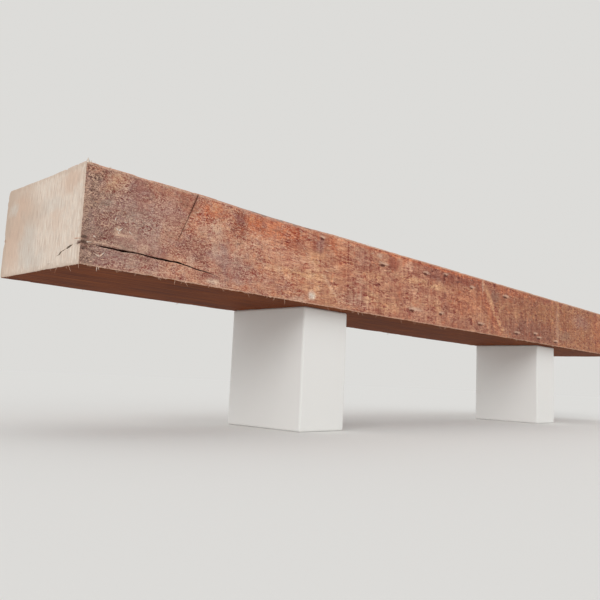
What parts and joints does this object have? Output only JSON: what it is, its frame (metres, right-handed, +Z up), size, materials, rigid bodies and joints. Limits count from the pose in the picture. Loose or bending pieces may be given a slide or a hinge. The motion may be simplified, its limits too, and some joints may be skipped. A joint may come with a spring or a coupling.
{
  "type": "railway sleeper",
  "caption": "Solid sawn hardwood beam that lies under rails as a railway sleeper, with rough reddish sides, pale cut ends and a drying check.",
  "frame": {"origin": "middle of the underside, on the surface that the sleeper lies on", "axes": "+X along the sleeper from the near end, which has the drying check, to the far end; -Y out of the long side that shows in the picture; +Z up"},
  "size_m": [2, 0.23, 0.13],
  "materials": {
    "hardwood": "matte"
  },
  "bodies": {
    "root": {"sleeper": "hardwood"}
  },
  "joints": []
}
